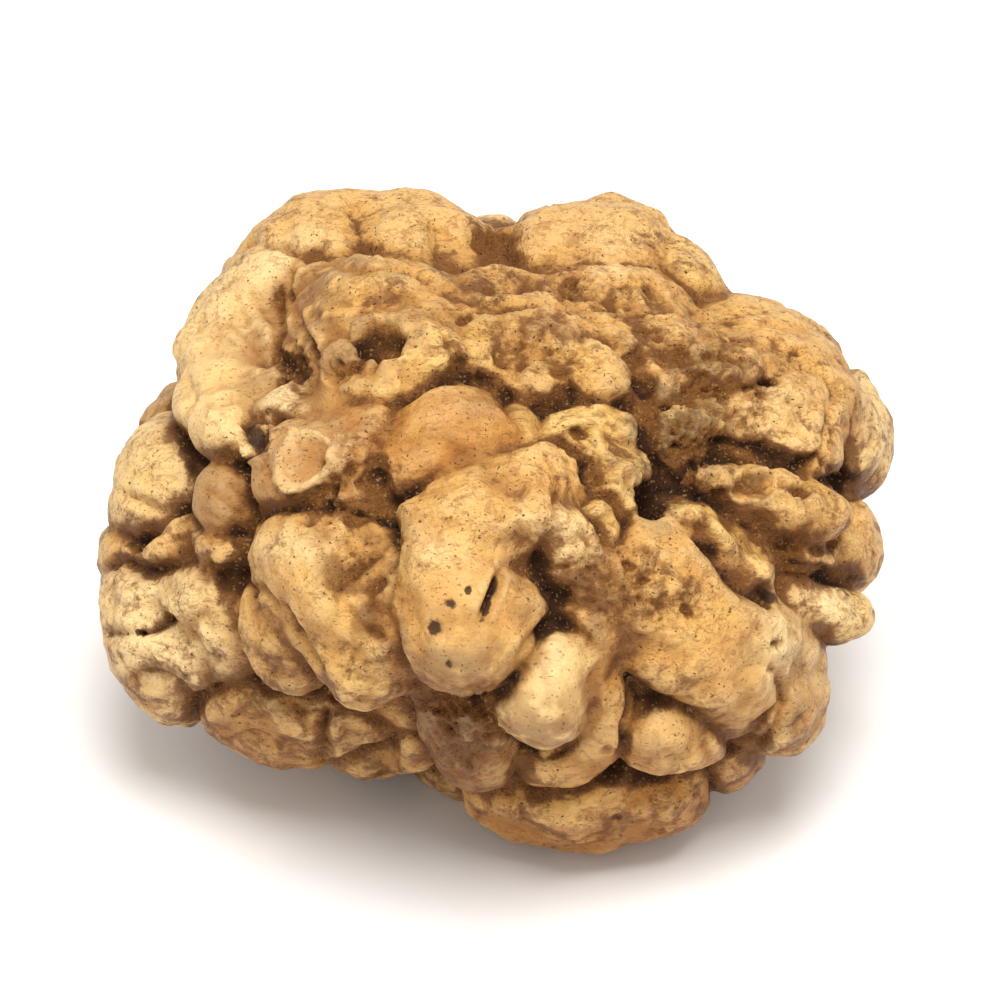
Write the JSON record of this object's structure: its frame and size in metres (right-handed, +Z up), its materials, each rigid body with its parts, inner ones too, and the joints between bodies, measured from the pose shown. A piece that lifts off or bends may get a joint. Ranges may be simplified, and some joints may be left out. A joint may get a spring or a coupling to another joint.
{
  "type": "white truffle",
  "caption": "Whole white truffle: a lumpy, cream to ochre tuber of folded lobes with brown soil in its creases, lying on a small flat spot.",
  "frame": {"origin": "middle of the footprint of the whole truffle, on the surface it rests on", "axes": "+Z up, +X along the longest side with the showing face towards -Y"},
  "size_m": [0.0956, 0.09, 0.0656],
  "materials": {
    "skin": "matte leathery skin"
  },
  "bodies": {
    "root": {"truffle": "skin"}
  },
  "joints": []
}
